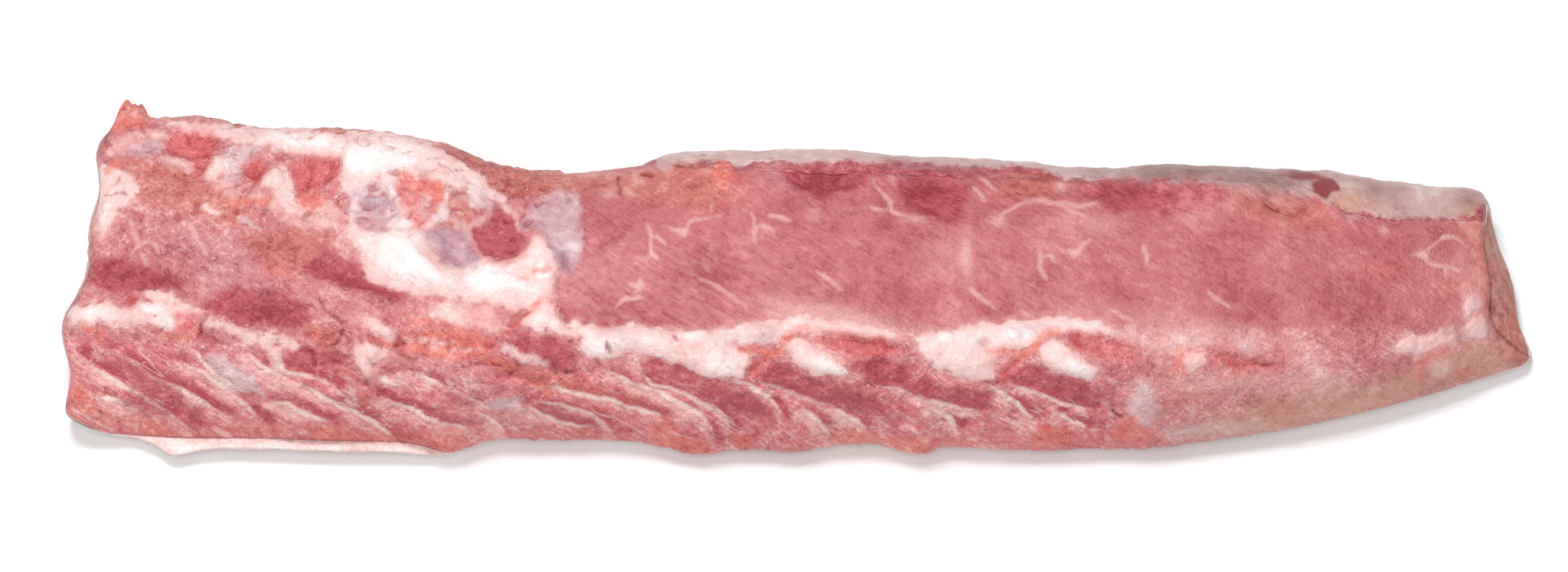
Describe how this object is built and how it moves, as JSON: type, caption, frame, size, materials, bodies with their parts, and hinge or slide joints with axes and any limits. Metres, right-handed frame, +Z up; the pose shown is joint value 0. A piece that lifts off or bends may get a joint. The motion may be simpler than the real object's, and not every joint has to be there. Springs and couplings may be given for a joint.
{
  "type": "pork loin",
  "caption": "Whole raw boneless pork loin, bone side up, resting on its layer of back fat, with slanted cut ends and a ridged chine face.",
  "frame": {"origin": "on the resting plane, below the middle of the loin's box", "axes": "+X along the loin from the shoulder end to the rump end, +Y from the chine (backbone) side to the belly side, +Z up, out of the bone side"},
  "size_m": [0.7028, 0.1792, 0.0691],
  "materials": {
    "lean_meat": "moist raw lean pork, rose red, marbled with pale fat",
    "pork_fat": "soft raw back fat, cream white with a pink tinge, slightly moist"
  },
  "bodies": {
    "root": {"lean": "lean_meat", "fat_cap": "pork_fat"}
  },
  "joints": []
}
